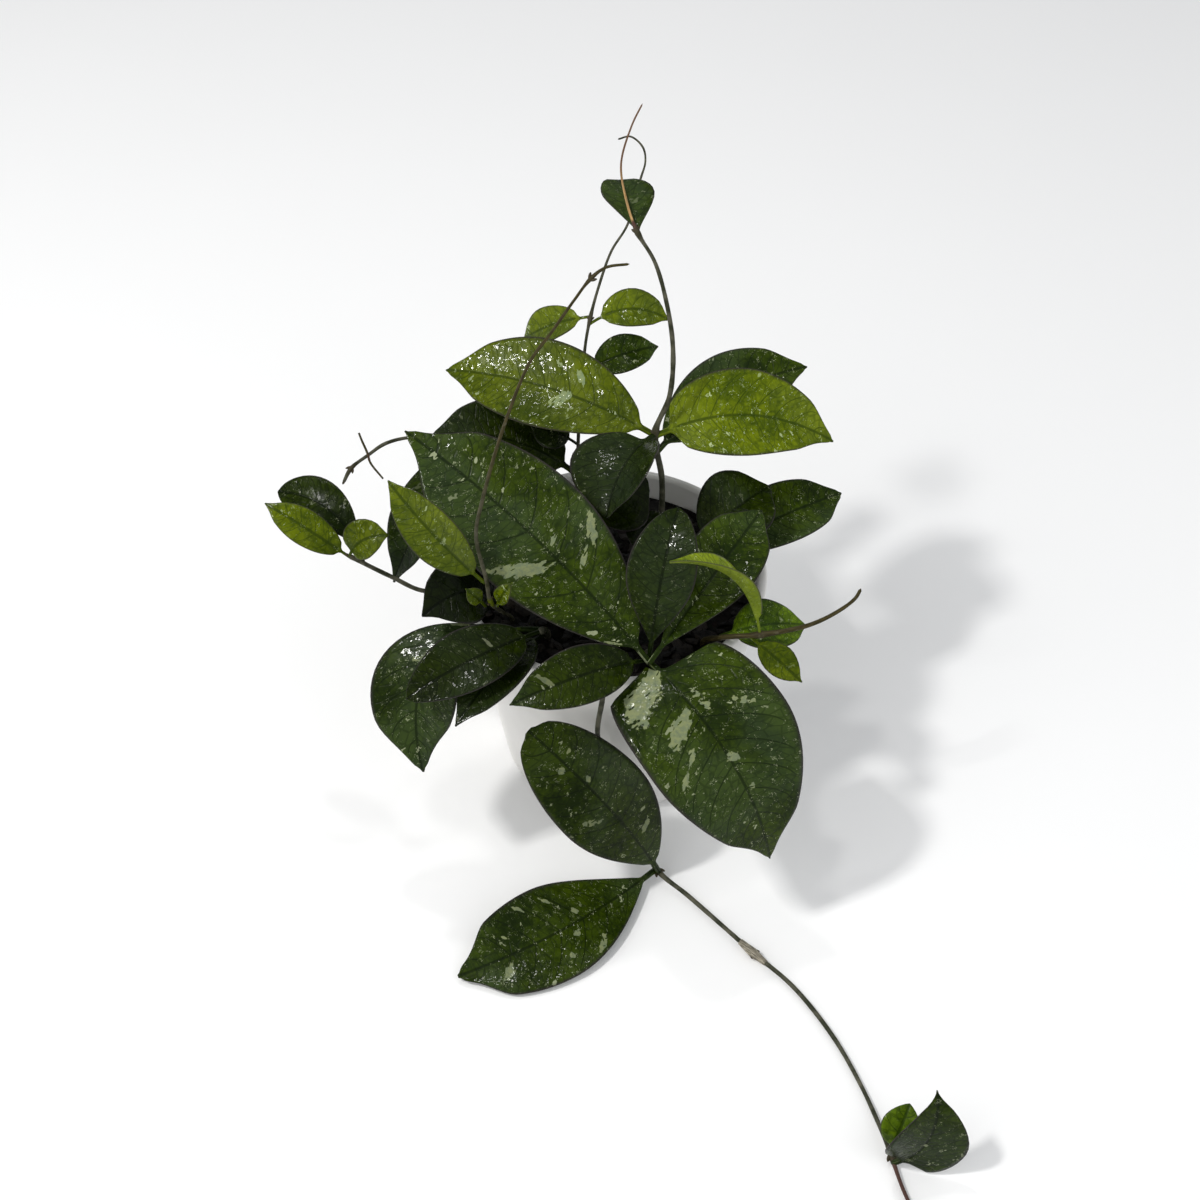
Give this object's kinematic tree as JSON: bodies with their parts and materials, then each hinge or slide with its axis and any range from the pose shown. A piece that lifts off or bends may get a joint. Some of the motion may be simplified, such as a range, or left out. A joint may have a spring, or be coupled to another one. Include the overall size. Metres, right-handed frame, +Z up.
{
  "type": "potted plant",
  "caption": "Hoya with speckled oval leaves in pairs on thin stems, standing in a round white pot, with one vine that hangs over the rim and lies on the table in front.",
  "frame": {"origin": "middle of the pot's foot, on the surface that it stands on", "axes": "+Z up, -Y towards the viewer of the picture, +X to the viewer's right"},
  "size_m": [0.2625, 0.3428, 0.2676],
  "materials": {
    "pot": "satin",
    "soil": "matte",
    "stem": "satin",
    "runner": "satin",
    "leaf": "gloss",
    "young_leaf": "gloss"
  },
  "bodies": {
    "root": {"pot": "pot", "soil": "soil", "tall_stem": "stem", "back_stem": "stem", "front_runner": "runner", "left_arching_stem": "stem", "left_stem": "stem", "trailing_stem": "stem", "right_runner": "runner", "centre_stem": "stem", "left_low_stem": "stem", "right_back_stem": "stem", "middle_stem": "stem", "top_heart_leaf": "leaf", "upper_left_leaf": "young_leaf", "upper_right_leaf": "young_leaf", "upper_right_dark_leaf": "leaf", "folded_dark_leaf": "leaf", "back_left_young_leaf": "young_leaf", "back_right_young_leaf": "young_leaf", "back_small_leaf": "leaf", "under_upper_leaf": "leaf", "small_dark_leaf": "leaf", "long_lime_leaf": "young_leaf", "young_leaf_left": "young_leaf", "young_leaf_right": "young_leaf", "left_inner_leaf": "leaf", "left_tip_light_leaf": "young_leaf", "left_cupped_leaf": "young_leaf", "left_dark_leaf": "leaf", "leaning_leaf": "leaf", "table_leaf": "leaf", "end_back_leaf": "leaf", "end_heart_leaf": "leaf", "right_strap_leaf": "young_leaf", "right_young_leaf": "young_leaf", "right_rim_leaf": "leaf", "big_left_leaf": "leaf", "big_front_leaf": "leaf", "centre_dark_leaf": "leaf", "right_dark_leaf": "leaf", "hooked_front_leaf": "leaf", "back_rim_leaf": "leaf", "right_green_leaf": "leaf", "inner_leaf_right": "leaf", "left_shaded_leaf": "leaf", "arching_left_leaf": "leaf", "under_left_leaf": "leaf", "hanging_left_leaf": "leaf", "inner_leaf_left": "leaf"}
  },
  "joints": []
}
